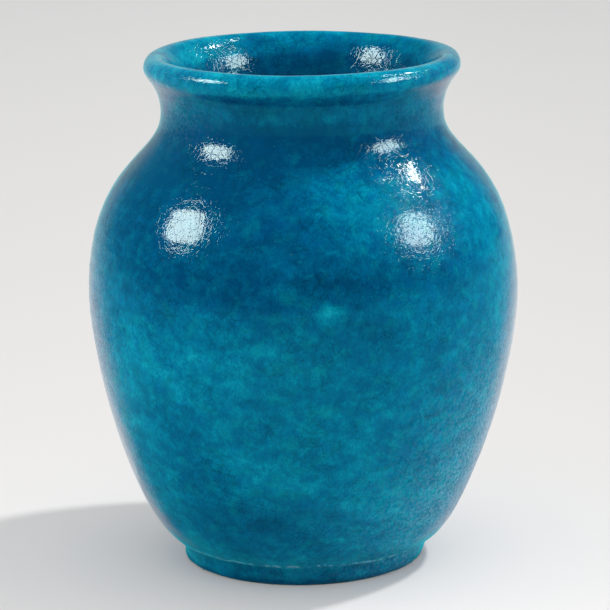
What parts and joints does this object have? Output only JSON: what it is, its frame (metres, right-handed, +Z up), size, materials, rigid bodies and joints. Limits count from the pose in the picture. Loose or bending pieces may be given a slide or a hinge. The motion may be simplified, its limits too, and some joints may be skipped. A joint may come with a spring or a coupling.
{
  "type": "faience vase",
  "caption": "Turned ceramic vase with a swelling belly, short flared neck, rolled lip and low foot ring, under glossy turquoise crackle glaze.",
  "frame": {"origin": "centre of the flat face that the foot ring stands on", "axes": "+Z up along the axis that the vase is turned about; +X and +Y lie in the standing face"},
  "size_m": [0.2012, 0.2012, 0.24],
  "materials": {
    "clay": "matte",
    "glaze": "gloss"
  },
  "bodies": {
    "root": {"faience_body": "clay", "foot_ring": "clay", "outer_glaze": "glaze", "lining_glaze": "glaze", "base_glaze": "glaze"}
  },
  "joints": []
}
